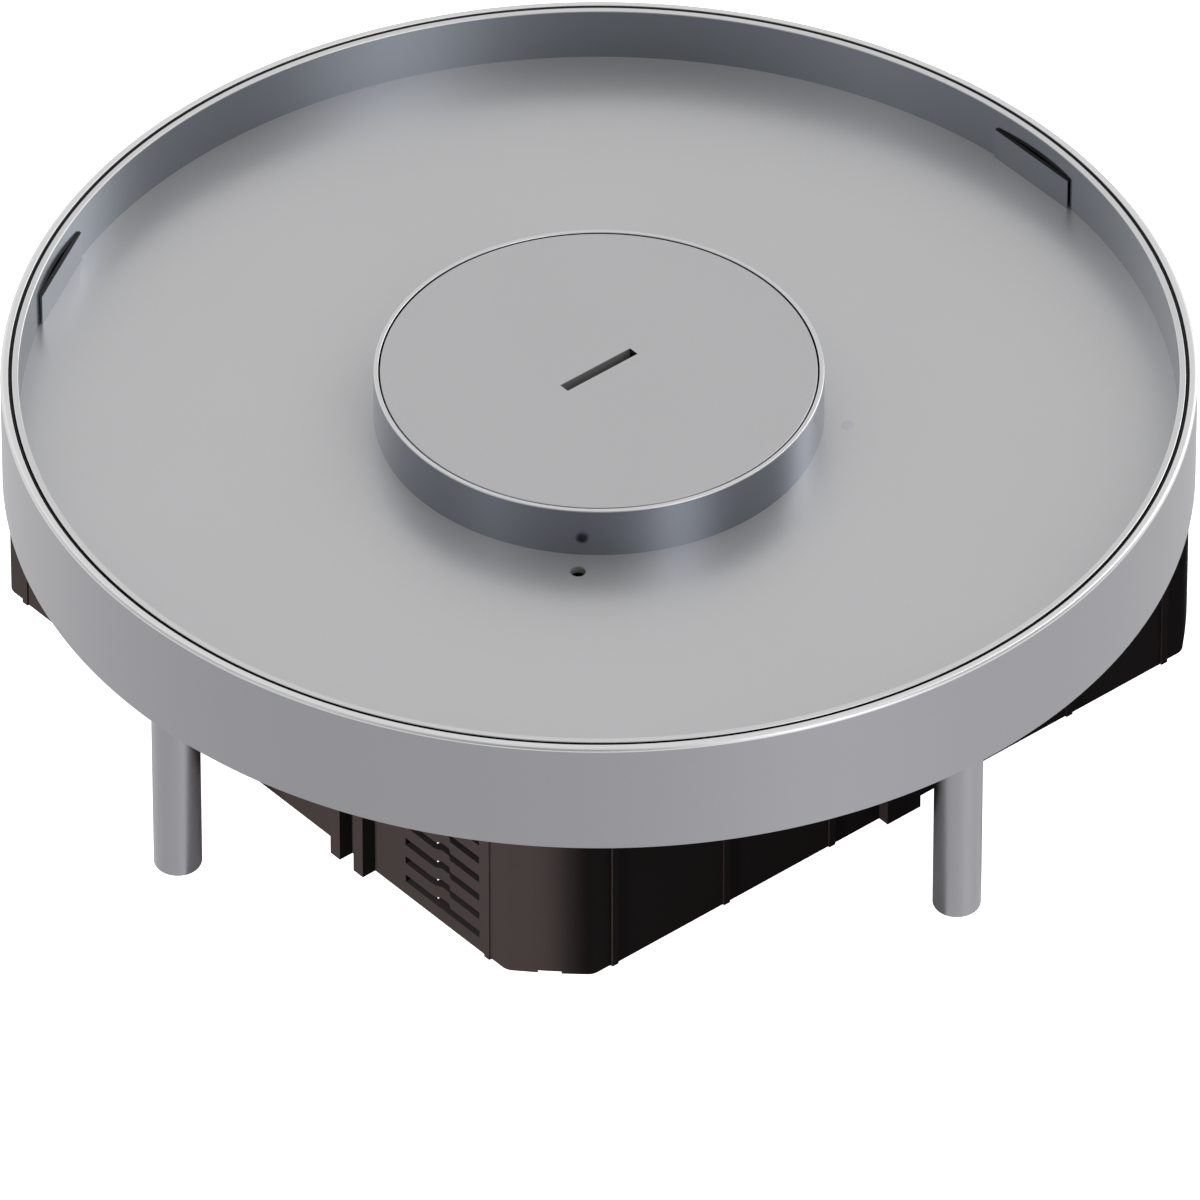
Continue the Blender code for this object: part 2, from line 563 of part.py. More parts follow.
# ---------------------------------------------------------------- device cups, covers and cover screws
for row, (y0, y1) in enumerate(CUP_ROWS):
    label = row + 1
    cup = new_object("device_cup_%d" % label,
                     block(-CUP_HALF_X, CUP_HALF_X, y0, y1, z_at(CUP_BOTTOM), z_at(CUP_TOP)),
                     material("device_cup", **GREY))
    join(cup, "tool_cup_lip_%d" % label,
         block(-CUP_HALF_X - 1.0, CUP_HALF_X + 1.0, y0 - CUP_LIP, y1 + CUP_LIP, z_at(CUP_TOP + 2.0), z_at(CUP_TOP)))
    cut(cup, "tool_cup_hollow_%d" % label,
        block(-CUP_HALF_X + CUP_WALL, CUP_HALF_X - CUP_WALL, y0 + CUP_WALL, y1 - CUP_WALL,
              z_at(CUP_BOTTOM - CUP_WALL), z_at(CUP_TOP - 1.0)))
    mid = (y0 + y1) / 2.0
    pads = bmesh.new()
    for sign in (-1.0, 1.0):
        x0, x1 = sorted((sign * (COVER_SCREW_X - 4.5), sign * (CUP_HALF_X - 0.5)))
        merge_into(pads, block(x0, x1, mid - 4.5, mid + 4.5, z_at(CUP_BOTTOM - 1.0), z_at(CUP_TOP)))
    join(cup, "tool_cup_pads_%d" % label, pads)
    taps = bmesh.new()
    for sign in (-1.0, 1.0):
        merge_into(taps, rod(COVER_SCREW_R + CLEAR, z_at(CUP_TOP + 9.0), z_at(CUP_TOP - 1.0), SEG_SMALL,
                             x=sign * COVER_SCREW_X, y=mid))
        x0, x1 = sorted((sign * (CUP_HALF_X - 3.0), sign * (CUP_HALF_X + 2.0)))
        for near in (mid - 24.0, mid + 10.0):
            merge_into(taps, block(x0, x1, near, near + 14.0, z_at(CUP_TOP + 16.0), z_at(CUP_TOP - 1.0)))
    cut(cup, "tool_cup_entries_%d" % label, taps)

    cover_low = z_at(CUP_TOP - CLEAR)
    cover_high = cover_low + COVER_THICK
    cover = new_object("cup_cover_%d" % label,
                       block(-CUP_HALF_X + COVER_MARGIN, CUP_HALF_X - COVER_MARGIN, y0 + COVER_MARGIN,
                             y1 - COVER_MARGIN, cover_low, cover_high),
                       material("cup_cover", **GREY))
    holes = bmesh.new()
    for sign in (-1.0, 1.0):
        merge_into(holes, rod(COVER_SCREW_R + CLEAR, cover_low - 1.0, cover_high + 1.0, SEG_SMALL,
                              x=sign * COVER_SCREW_X, y=mid))
    cut(cover, "tool_cover_holes_%d" % label, holes)
    for n, sign in enumerate((-1.0, 1.0)):
        head_low = cover_high + CLEAR
        new_object("cover_screw_%d%s" % (label, "ab"[n]),
                   lathe([(0.0, head_low + 2.0), (COVER_SCREW_HEAD_R, head_low + 2.0),
                          (COVER_SCREW_HEAD_R, head_low),
                          (COVER_SCREW_R, head_low), (COVER_SCREW_R, z_at(CUP_TOP + 8.0)),
                          (0.0, z_at(CUP_TOP + 8.0))], SEG_SMALL),
                   material("cover_screw", **ZINC), location=(sign * COVER_SCREW_X, mid, 0.0))
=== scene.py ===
"""Looks for the round levelling floor outlet: surfaces, materials, light and camera around the frame."""
import math

import bmesh
import bpy
from mathutils import Matrix, Vector


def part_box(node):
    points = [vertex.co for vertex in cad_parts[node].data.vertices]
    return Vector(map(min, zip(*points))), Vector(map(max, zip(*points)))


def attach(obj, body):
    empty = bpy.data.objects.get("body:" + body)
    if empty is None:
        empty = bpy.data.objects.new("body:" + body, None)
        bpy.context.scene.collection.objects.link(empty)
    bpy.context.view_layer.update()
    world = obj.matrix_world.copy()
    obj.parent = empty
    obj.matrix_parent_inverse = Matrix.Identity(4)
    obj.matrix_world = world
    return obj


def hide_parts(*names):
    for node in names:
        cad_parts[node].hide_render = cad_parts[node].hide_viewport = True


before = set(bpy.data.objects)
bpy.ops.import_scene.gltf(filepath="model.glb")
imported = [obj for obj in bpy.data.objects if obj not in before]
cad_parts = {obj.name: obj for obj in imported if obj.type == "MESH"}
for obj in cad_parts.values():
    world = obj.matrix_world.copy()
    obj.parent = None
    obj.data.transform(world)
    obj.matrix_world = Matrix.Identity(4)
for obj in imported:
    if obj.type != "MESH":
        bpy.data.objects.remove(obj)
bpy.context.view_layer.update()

MM = 0.001
SEG_FINE = 288
SEG_TUBE = 192
SEG_LEG = 64
SHARP_ANGLE = 35.0           # edges steeper than this stay sharp, degrees
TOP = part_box("trim_ring")[1].z / MM          # ring's top edge, mm


# ------------------------------------------------------------------ mesh helpers
def level(depth):
    """Height in mm of a level given below the ring's top edge."""
    return TOP - depth


def filleted(corners, steps=4):
    """Closed (r, z) outline from corners (r, z, fillet radius); corners on the axis stay sharp."""
    out = []
    n = len(corners)
    for i, (r, z, rad) in enumerate(corners):
        p = Vector((r, z))
        a = Vector(corners[i - 1][:2]) - p
        b = Vector(corners[(i + 1) % n][:2]) - p
        if rad <= 0.0 or a.length < 1e-9 or b.length < 1e-9:
            out.append((r, z))
            continue
        a_dir, b_dir = a.normalized(), b.normalized()
        half = a_dir.angle(b_dir) / 2.0
        reach = min(rad / math.tan(half), a.length * 0.49, b.length * 0.49)
        rad = reach * math.tan(half)
        centre = p + (a_dir + b_dir).normalized() * (rad / math.sin(half))
        start = p + a_dir * reach - centre
        end = p + b_dir * reach - centre
        turn = start.angle_signed(end)
        for k in range(steps + 1):
            v = start.copy()
            v.rotate(Matrix.Rotation(-turn * k / steps, 2))
            out.append((centre.x + v.x, centre.y + v.y))
    return out


def lathe(corners, segments, steps=4):
    """Closed solid of revolution from (r, z, fillet) corners in mm."""
    outline = filleted(corners, steps)
    bm = bmesh.new()
    rings = []
    for r, z in outline:
        if r < 1e-6:
            rings.append([bm.verts.new((0.0, 0.0, z * MM))])
        else:
            rings.append([bm.verts.new((r * MM * math.cos(2 * math.pi * i / segments),
                                        r * MM * math.sin(2 * math.pi * i / segments), z * MM))
                          for i in range(segments)])
    for k in range(len(rings)):
        a, b = rings[k], rings[(k + 1) % len(rings)]
        if len(a) == 1 and len(b) == 1:
            continue
        for i in range(segments):
            j = (i + 1) % segments
            if len(a) == 1:
                bm.faces.new((a[0], b[j], b[i]))
            elif len(b) == 1:
                bm.faces.new((a[i], a[j], b[0]))
            else:
                bm.faces.new((a[i], a[j], b[j], b[i]))
    bmesh.ops.recalc_face_normals(bm, faces=bm.faces)
    return bm


def prism(points, z0, z1):
    """Upright solid on an outline of (x, y) points, from z0 to z1, all in mm."""
    bm = bmesh.new()
    low = [bm.verts.new((x * MM, y * MM, z0 * MM)) for x, y in points]
    face = bm.faces.new(low)
    grown = bmesh.ops.extrude_face_region(bm, geom=[face])
    bmesh.ops.translate(bm, verts=[g for g in grown["geom"] if isinstance(g, bmesh.types.BMVert)],
                        vec=Vector((0.0, 0.0, (z1 - z0) * MM)))
    bmesh.ops.recalc_face_normals(bm, faces=bm.faces)
    return bm


def block(x0, x1, y0, y1, z0, z1):
    return prism([(x0, y0), (x1, y0), (x1, y1), (x0, y1)], z0, z1)


def turned(bm, degrees):
    """The same mesh, turned about the object's upright axis."""
    matrix = Matrix.Rotation(math.radians(degrees), 3, "Z")
    bmesh.ops.rotate(bm, verts=bm.verts, cent=(0, 0, 0), matrix=matrix)
    return bm


def add_to(target, other):
    """Move one mesh's geometry into another."""
    mesh = bpy.data.meshes.new("part")
    other.to_mesh(mesh)
    other.free()
    target.from_mesh(mesh)
    bpy.data.meshes.remove(mesh)
    return target


def piece(name, bm, mats, location=(0.0, 0.0, 0.0)):
    """New smooth-shaded object from a mesh; location in mm, sharp edges kept."""
    mesh = bpy.data.meshes.new(name)
    bm.to_mesh(mesh)
    bm.free()
    mesh.shade_smooth()
    mesh.set_sharp_from_angle(angle=math.radians(SHARP_ANGLE))
    for mat in (mats if isinstance(mats, (list, tuple)) else [mats]):
        mesh.materials.append(mat)
    obj = bpy.data.objects.new(name, mesh)
    obj.location = [c * MM for c in location]
    bpy.context.scene.collection.objects.link(obj)
    return obj


def even_shading(obj, sharp):
    """Smooth shading that stays flat on the large faces next to small rounded edges."""
    obj.data.shade_smooth()
    obj.data.set_sharp_from_angle(angle=math.radians(sharp))
    mod = obj.modifiers.new("shade", "WEIGHTED_NORMAL")
    mod.mode, mod.weight, mod.keep_sharp = "FACE_AREA", 50, True
    bake(obj)


def boolean(obj, bm, operation="DIFFERENCE"):
    """Cut or join a helper solid and bake the result into the mesh."""
    mesh = bpy.data.meshes.new("helper")
    bm.to_mesh(mesh)
    bm.free()
    tool = bpy.data.objects.new("helper", mesh)
    tool.matrix_world = obj.matrix_world
    bpy.context.scene.collection.objects.link(tool)
    mod = obj.modifiers.new("cut", "BOOLEAN")
    mod.operation, mod.solver, mod.object = operation, "EXACT", tool
    bake(obj)
    bpy.data.objects.remove(tool)
    bpy.data.meshes.remove(mesh)


def bake(obj):
    """Replace the mesh with what its modifiers make of it."""
    deps = bpy.context.evaluated_depsgraph_get()
    deps.update()
    mesh = bpy.data.meshes.new_from_object(obj.evaluated_get(deps))
    old = obj.data
    obj.modifiers.clear()
    obj.data = mesh
    bpy.data.meshes.remove(old)


def soften(obj, width, angle):
    """Small rounded edges on a moulded block; width in mm, angle in degrees."""
    mod = obj.modifiers.new("edge", "BEVEL")
    mod.width, mod.segments, mod.limit_method = width * MM, 2, "ANGLE"
    mod.angle_limit, mod.harden_normals = math.radians(angle), False
    mod.miter_outer = "MITER_ARC"
    bake(obj)


def paint_faces(obj, index, test):
    """Give the faces that pass the test another of the object's materials."""
    for poly in obj.data.polygons:
        if test(poly.center / MM, poly.normal):
            poly.material_index = index


def radius(point):
    """Distance from the object's upright axis."""
    return math.hypot(point.x, point.y)


def place(obj, body, slot, *nodes, sharp=SHARP_ANGLE):
    """Finish a piece: shading, the body it rides on and the nodes it replaces, which are hidden; slot is not
    used.
    """
    even_shading(obj, sharp)
    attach(obj, body)
    if nodes:
        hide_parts(*nodes)
    return obj


# ------------------------------------------------------------------ materials
GRAIN_SCALE = 900.0          # fine grain of the satin metals, per metre


def graph(name, colour, rough, metallic=0.0, spec=0.5):
    """New material with its node tree and shader."""
    mat = bpy.data.materials.new(name)
    mat.use_nodes = True
    tree = mat.node_tree
    bsdf = tree.nodes["Principled BSDF"]
    bsdf.inputs["Base Color"].default_value = (*colour, 1.0)
    bsdf.inputs["Roughness"].default_value = rough
    bsdf.inputs["Metallic"].default_value = metallic
    bsdf.inputs["Specular IOR Level"].default_value = spec
    return mat, tree, bsdf


def add_node(tree, kind, **values):
    """New node; names of input sockets set those, other names set the node itself."""
    node = tree.nodes.new(kind)
    for key, value in values.items():
        if key in node.inputs:
            node.inputs[key].default_value = value
        else:
            setattr(node, key, value)
    return node


def coords(tree, scale=(1.0, 1.0, 1.0)):
    """Scaled object coordinates."""
    tex = add_node(tree, "ShaderNodeTexCoord")
    mapping = add_node(tree, "ShaderNodeMapping")
    mapping.inputs["Scale"].default_value = scale
    tree.links.new(tex.outputs["Object"], mapping.inputs["Vector"])
    return mapping.outputs["Vector"]


def spread(tree, source, low, high):
    """Stretch the middle half of a noise value to the range low to high."""
    node = add_node(tree, "ShaderNodeMapRange")
    node.inputs["From Min"].default_value = 0.25
    node.inputs["From Max"].default_value = 0.75
    node.inputs["To Min"].default_value = low
    node.inputs["To Max"].default_value = high
    tree.links.new(source, node.inputs["Value"])
    return node.outputs["Result"]


def tinted(tree, factor, dark, light):
    """Colour between dark and light by a factor."""
    mix = add_node(tree, "ShaderNodeMix", data_type="RGBA")
    mix.inputs[6].default_value = (*dark, 1.0)
    mix.inputs[7].default_value = (*light, 1.0)
    tree.links.new(factor, mix.inputs[0])
    return mix.outputs[2]


def metal(name, colour, rough, metallic=1.0, vary=0.03, cloud=18.0):
    """Satin metal: fine grain, cloudy roughness and slight tone changes."""
    mat, tree, bsdf = graph(name, colour, rough, metallic=metallic)
    fine = add_node(tree, "ShaderNodeTexNoise", Scale=1.0, Detail=3.0, Roughness=0.6)
    tree.links.new(coords(tree, (GRAIN_SCALE,) * 3), fine.inputs["Vector"])
    soft = add_node(tree, "ShaderNodeTexNoise", Scale=cloud, Detail=2.0, Roughness=0.5)
    tree.links.new(coords(tree), soft.inputs["Vector"])
    both = add_node(tree, "ShaderNodeMath", operation="ADD")
    half = add_node(tree, "ShaderNodeMath", operation="MULTIPLY")
    half.inputs[1].default_value = 0.5
    tree.links.new(fine.outputs["Fac"], both.inputs[0])
    tree.links.new(soft.outputs["Fac"], both.inputs[1])
    tree.links.new(both.outputs[0], half.inputs[0])
    tree.links.new(spread(tree, half.outputs[0], rough - vary, rough + vary), bsdf.inputs["Roughness"])
    dark = tuple(c * 0.965 for c in colour)
    light = tuple(min(1.0, c * 1.035) for c in colour)
    tree.links.new(tinted(tree, half.outputs[0], dark, light), bsdf.inputs["Base Color"])
    relief = add_node(tree, "ShaderNodeBump", Strength=0.015, Distance=0.00004)
    tree.links.new(fine.outputs["Fac"], relief.inputs["Height"])
    tree.links.new(relief.outputs["Normal"], bsdf.inputs["Normal"])
    return mat


def moulded(name, colour, rough, spec=0.3, texture=1400.0):
    """Moulded plastic or rubber: fine spark texture and slight gloss changes."""
    mat, tree, bsdf = graph(name, colour, rough, spec=spec)
    fine = add_node(tree, "ShaderNodeTexNoise", Scale=texture, Detail=2.0, Roughness=0.5)
    tree.links.new(coords(tree), fine.inputs["Vector"])
    soft = add_node(tree, "ShaderNodeTexNoise", Scale=35.0, Detail=3.0, Roughness=0.6)
    tree.links.new(coords(tree), soft.inputs["Vector"])
    tree.links.new(spread(tree, soft.outputs["Fac"], rough - 0.06, rough + 0.06), bsdf.inputs["Roughness"])
    dark = tuple(c * 0.88 for c in colour)
    light = tuple(min(1.0, c * 1.12) for c in colour)
    tree.links.new(tinted(tree, soft.outputs["Fac"], dark, light), bsdf.inputs["Base Color"])
    relief = add_node(tree, "ShaderNodeBump", Strength=0.12, Distance=0.00005)
    tree.links.new(fine.outputs["Fac"], relief.inputs["Height"])
    tree.links.new(relief.outputs["Normal"], bsdf.inputs["Normal"])
    return mat


# Ring metal in two copies: the side copy is darker as painted shade, the top copy lighter as painted light.
RING_SIDE_PAINTED_SHADE = metal("ring_side_satin_painted_shade", (0.36, 0.36, 0.375), 0.34)
RING_TOP_PAINTED_LIGHT = metal("ring_top_satin_painted_light", (0.74, 0.74, 0.74), 0.34)
# Tray metal in copies: the rim top copy is lighter as painted light; the wall copy is polished, and darker and
# bluish as painted shade.
RIM_TOP_PAINTED_LIGHT = metal("rim_top_satin_painted_light", (0.66, 0.66, 0.66), 0.34)
TRAY_FLAT = metal("tray_satin", (0.542, 0.542, 0.545), 0.32, metallic=0.60)
TRAY_WALL_PAINTED_SHADE = metal("tray_wall_polished_painted_shade", (0.32, 0.345, 0.385), 0.16, vary=0.03)
# Tube collar wall: polished, and darker and bluish as painted shade.
TUBE_WALL_PAINTED_SHADE = metal("tube_wall_polished_painted_shade", (0.29, 0.31, 0.355), 0.16, vary=0.02)
PLUG_METAL = metal("plug_satin", (0.50, 0.50, 0.52), 0.36, metallic=0.64)
CAP_FLAT = metal("cap_satin", (0.495, 0.495, 0.50), 0.33, metallic=0.64)
LEG_METAL = metal("leg_satin", (0.36, 0.36, 0.38), 0.36)
ZINC = metal("zinc_plate", (0.50, 0.51, 0.53), 0.36, cloud=60.0)
BLACK = moulded("carrier_black", (0.0050, 0.0042, 0.0041), 0.6, spec=0.01)
# Lighter black for the louvre slots' upward faces: painted light in the slots.
SLOT_FLOOR_PAINTED_LIGHT = moulded("louvre_floor_painted_light", (0.060, 0.050, 0.050), 0.6, spec=0.01)
# Near-black for the tube liner and the cap base, and painted shade on faces of metal parts in gaps and slits.
LINER_BLACK_AND_PAINTED_SHADE = moulded("liner_black_and_painted_shade", (0.012, 0.012, 0.013), 0.45)
GREY = moulded("cup_grey", (0.11, 0.11, 0.115), 0.5)
RUBBER = moulded("seal_rubber", (0.010, 0.010, 0.011), 0.7, spec=0.2, texture=900.0)

# ------------------------------------------------------------------ trim ring and seal
# Every outline below is a list of corners (radius, height, fillet radius) in mm.
RING_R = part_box("trim_ring")[1].x / MM
RING_IN = RING_R - 1.7
RING_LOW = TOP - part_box("trim_ring")[0].z / MM
LIP, LIP_DEPTH = 0.4, 0.47                     # how far the ring's top edge reaches in, and its thickness
SHELF_R, SHELF_TOP, SHELF_LOW = 146.5, 17.3, 19.3
ring = piece("trim_ring_fine", lathe([
    (RING_IN - LIP, level(0.0), 0.2), (RING_R, level(0.0), 0.9), (RING_R, level(RING_LOW), 0.35),
    (RING_IN, level(RING_LOW), 0.2), (RING_IN, level(SHELF_LOW), 0.3), (SHELF_R, level(SHELF_LOW), 0.2),
    (SHELF_R, level(SHELF_TOP), 0.2), (RING_IN, level(SHELF_TOP), 0.3), (RING_IN, level(LIP_DEPTH), 0.0),
    (RING_IN - LIP, level(LIP_DEPTH), 0.0)], SEG_FINE), [RING_SIDE_PAINTED_SHADE, RING_TOP_PAINTED_LIGHT, LINER_BLACK_AND_PAINTED_SHADE])
ears = bmesh.new()
for k in range(4):
    ear = block(133.0, 149.0, -8.0, 8.0, level(SHELF_LOW - 0.01), level(SHELF_TOP + 0.01))
    add_to(ears, turned(ear, 45.0 + 90.0 * k))
boolean(ring, ears, "UNION")
# painted light: the ring's top faces get the lighter copy; the other metal faces keep the darker copy as painted
# shade
paint_faces(ring, 1, lambda c, n: c.z > level(1.05))
# painted shade: the ring's inner face below the lip gets the near-black
paint_faces(ring, 2, lambda c, n: radius(c) < RING_IN + 0.05 and level(17.2) < c.z < level(0.55))
place(ring, "frame", "trim_ring", "trim_ring")

RIM_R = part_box("lid_tray")[1].x / MM
SEAL_OUT, SEAL_IN = RING_IN - 0.03, RIM_R + 0.07
SEAL_TOP, SEAL_LOW = level(0.5), level(6.0)
seal = piece("lid_seal_fine", lathe([
    (SEAL_IN, SEAL_TOP, 0.3), (SEAL_OUT, SEAL_TOP, 0.3),
    (SEAL_OUT, SEAL_LOW, 0.1), (SEAL_IN, SEAL_LOW, 0.1)], SEG_FINE), RUBBER)
place(seal, "frame", "lid_seal", "lid_seal")

# ------------------------------------------------------------------ lid tray
RIM_IN = RIM_R - 1.7
FLOOR_TOP, FLOOR_LOW, TUBE_HOLE_R = 15.0, 17.0, 57.6
tray = piece("lid_tray_fine", lathe([
    (RIM_IN, level(0.0), 0.3), (RIM_R, level(0.0), 0.3), (RIM_R, level(FLOOR_LOW), 0.5),
    (TUBE_HOLE_R, level(FLOOR_LOW), 0.0), (TUBE_HOLE_R, level(FLOOR_TOP), 0.0),
    (RIM_IN, level(FLOOR_TOP), 0.0)], SEG_FINE), [TRAY_FLAT, RIM_TOP_PAINTED_LIGHT, TRAY_WALL_PAINTED_SHADE, LINER_BLACK_AND_PAINTED_SHADE])
TAB_COUNT, TAB_TOP, WINDOW_GAP = 3, 6.0, 0.4
TAB_HALF = RIM_IN * math.sin(math.radians(5.5))
WINDOW_HALF = TAB_HALF + WINDOW_GAP
windows, tabs = bmesh.new(), bmesh.new()
for k in range(TAB_COUNT):
    window = block(RIM_IN - 4.0, RIM_R + 1.0, -WINDOW_HALF, WINDOW_HALF, level(14.4), level(5.8))
    tab = block(146.9, 148.0, -TAB_HALF, TAB_HALF, level(15.8), level(TAB_TOP))
    add_to(windows, turned(window, 120.0 * k))
    add_to(tabs, turned(tab, 120.0 * k))
boolean(tray, windows)
boolean(tray, tabs, "UNION")
HOLE_AT, HOLE_R, HOLE_SIDES = 64.5, 2.0, 32    # small hole in the floor, in front of the tube
hole = prism([(HOLE_AT + HOLE_R * math.cos(2 * math.pi * i / HOLE_SIDES),
               HOLE_R * math.sin(2 * math.pi * i / HOLE_SIDES))
              for i in range(HOLE_SIDES)], level(18.0), level(14.0))
boolean(tray, turned(hole, 225.0))
# painted shade: the tray's inner rim walls get the darker bluish copy; painted light: its rim top gets the
# lighter copy
paint_faces(tray, 2, lambda c, n: radius(c) > 145.0 and level(14.97) < c.z < level(0.3))
paint_faces(tray, 1, lambda c, n: c.z > level(0.35))
# painted shade: the windows' cut faces and the tabs' top faces get the near-black
paint_faces(tray, 3, lambda c, n: RIM_IN + 0.05 < radius(c) < RIM_R - 0.05 and level(14.5) < c.z < level(5.7))
paint_faces(tray, 3, lambda c, n: n.z > 0.9 and abs(c.z - level(TAB_TOP)) < 0.1)
place(tray, "lid", "lid_tray", "lid_tray")

PLUG_AT, PLUG_R, PLUG_TOP, PLUG_LOW = 64.0, 1.9, 14.97, 16.6
plug = piece("tray_plug", lathe([
    (0.0, level(PLUG_LOW), 0.0), (PLUG_R, level(PLUG_LOW), 0.1), (PLUG_R, level(PLUG_TOP), 0.08),
    (0.0, level(PLUG_TOP), 0.0)], 48), PLUG_METAL)
PLUG_BEARING = math.radians(-45.0)
plug.location = (PLUG_AT * MM * math.cos(PLUG_BEARING), PLUG_AT * MM * math.sin(PLUG_BEARING), 0.0)
place(plug, "lid", "lid_tray")

PAN_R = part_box("lid_stiffener")[1].x / MM
PAN_HOLE_R, PAN_WALL = 68.0, 2.0
PAN_TOP, PAN_UNDER, PAN_LOW = 17.3, 19.3, 23.8
pan = piece("lid_stiffener_fine", lathe([
    (PAN_HOLE_R, level(PAN_TOP), 1.2), (PAN_R, level(PAN_TOP), 1.2), (PAN_R, level(PAN_LOW), 0.3),
    (PAN_R - PAN_WALL, level(PAN_LOW), 0.3), (PAN_R - PAN_WALL, level(PAN_UNDER), 1.0),
    (PAN_HOLE_R + PAN_WALL, level(PAN_UNDER), 1.0), (PAN_HOLE_R + PAN_WALL, level(PAN_LOW), 0.3),
    (PAN_HOLE_R, level(PAN_LOW), 0.3)], SEG_TUBE), ZINC)
place(pan, "lid", "lid_stiffener", "lid_stiffener")

# ------------------------------------------------------------------ tube, cap and lock ring
collar = piece("tube_collar_fine", lathe([
    (56.4, level(0.8), 0.25), (57.7, level(0.8), 0.35), (57.7, level(17.3), 0.2), (61.5, level(17.3), 0.3),
    (61.5, level(19.3), 0.3), (57.7, level(19.3), 0.3), (57.7, level(24.0), 0.3),
    (56.4, level(24.0), 0.3)], SEG_TUBE), [TUBE_WALL_PAINTED_SHADE, RIM_TOP_PAINTED_LIGHT])
# painted light: the collar's top gets the lighter rim top copy; its walls keep the painted shade copy
paint_faces(collar, 1, lambda c, n: c.z > level(1.1))
place(collar, "lid", "tube_collar", "tube_collar")
liner = piece("tube_insert_fine", lathe([
    (53.8, level(2.7), 0.3), (56.0, level(2.7), 0.3), (56.0, level(24.0), 0.3), (53.8, level(24.0), 0.5),
    (53.8, level(13.5), 0.3), (48.5, level(13.5), 0.4), (48.5, level(11.0), 0.4),
    (53.8, level(11.0), 0.3)], SEG_TUBE), LINER_BLACK_AND_PAINTED_SHADE)
place(liner, "lid", "tube_insert", "tube_insert")

cap = piece("cap_plate_fine", lathe([
    (0.0, level(0.9), 0.0), (56.0, level(0.9), 0.3), (56.0, level(2.4), 0.3), (14.0, level(2.4), 0.2),
    (14.0, level(7.0), 0.4), (0.0, level(7.0), 0.0)], SEG_TUBE), [CAP_FLAT, LINER_BLACK_AND_PAINTED_SHADE])
SLOT_X, SLOT_Y = 11.7, 1.5                     # half sizes of the coin slot
boolean(cap, block(-SLOT_X, SLOT_X, -SLOT_Y, SLOT_Y, level(5.2), level(0.0)))
# painted shade: the coin slot's walls get the near-black
paint_faces(cap, 1, lambda c, n: (abs(c.x) < SLOT_X + 0.05 and abs(c.y) < SLOT_Y + 0.1
                                  and level(5.3) < c.z < level(1.0)))
place(cap, "cap", "cap_plate", "cap_plate")
base = piece("cap_base_fine", lathe([
    (0.0, level(7.3), 0.0), (14.3, level(7.3), 0.2), (14.3, level(2.8), 0.3), (53.4, level(2.8), 0.4),
    (53.4, level(5.2), 0.2), (51.4, level(5.2), 0.2), (51.4, level(7.6), 0.2), (53.4, level(7.6), 0.2),
    (53.4, level(8.6), 0.3), (49.9, level(8.6), 0.2), (49.9, level(10.7), 0.4), (0.0, level(10.7), 0.0)],
    SEG_TUBE), LINER_BLACK_AND_PAINTED_SHADE)
place(base, "cap", "cap_base", "cap_base")

# ------------------------------------------------------------------ four levelling feet
BORE_R, BORE_LOW = 3.4, 7.0                    # the spindle's bore down each foot
for k in range(4):
    lo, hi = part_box("leg_foot_%d" % (k + 1))
    r = (hi.x - lo.x) / 2.0 / MM
    top = hi.z / MM
    foot = piece("leg_foot_%d_fine" % (k + 1), lathe([
        (BORE_R, top, 0.3), (r, top, 0.4), (r, 0.0, 1.0), (0.0, 0.0, 0.0), (0.0, BORE_LOW, 0.0),
        (BORE_R, BORE_LOW, 0.3)], SEG_LEG, steps=6), LEG_METAL,
        location=((lo.x + hi.x) / 2.0 / MM, (lo.y + hi.y) / 2.0 / MM, 0.0))
    place(foot, "foot_%d" % (k + 1), "leg_foot", "leg_foot_%d" % (k + 1))

# ------------------------------------------------------------------ louvred device carrier
HALF, CORNER_R, WALL = 115.0, 151.6, 3.0       # half width, radius across the corners, wall thickness
NECK_HALF, NECK_R = 114.4, 150.4               # the same for the neck that goes up into the ring
SEAM_AT, SEAM_STEP = 93.5, 0.3                 # where the corner pieces begin, and how far they sit back
CORNER_FILLET = 4.0
Z_NECK, Z_BOX, Z_LOW = level(19.9), level(32.7), level(75.0)
POSTS = ((35.1, 38.8), (44.2, 47.9))           # snap posts on the X walls, from and to, both ways from the middle
POST_DEPTH = 4.1
RIBS = (-92.4, -55.4, -20.2, 60.0, 92.4)       # ribs along the Y walls
RIB_HALF, RIB_DEPTH, SEAM_RIB = 1.0, 0.5, 92.4
GUIDE_FROM, GUIDE_TO, GUIDE_DEPTH = -4.0, 7.1, 3.2
LEDGE_LOW, LEDGE_TOP, BAR_LOW = level(57.3), level(54.3), level(72.0)
BITE = 1.5                                     # how far added blocks reach into the wall
LOUVRE_FROM, LOUVRE_TO, LOUVRE_ROWS = 60.0, 89.0, 6
LOUVRE_LOW, LOUVRE_PITCH, LOUVRE_HALF = 69.5, 6.07, 1.15
QUARTERS = [(side, sign) for side in (-1.0, 1.0) for sign in (1.0, -1.0)]


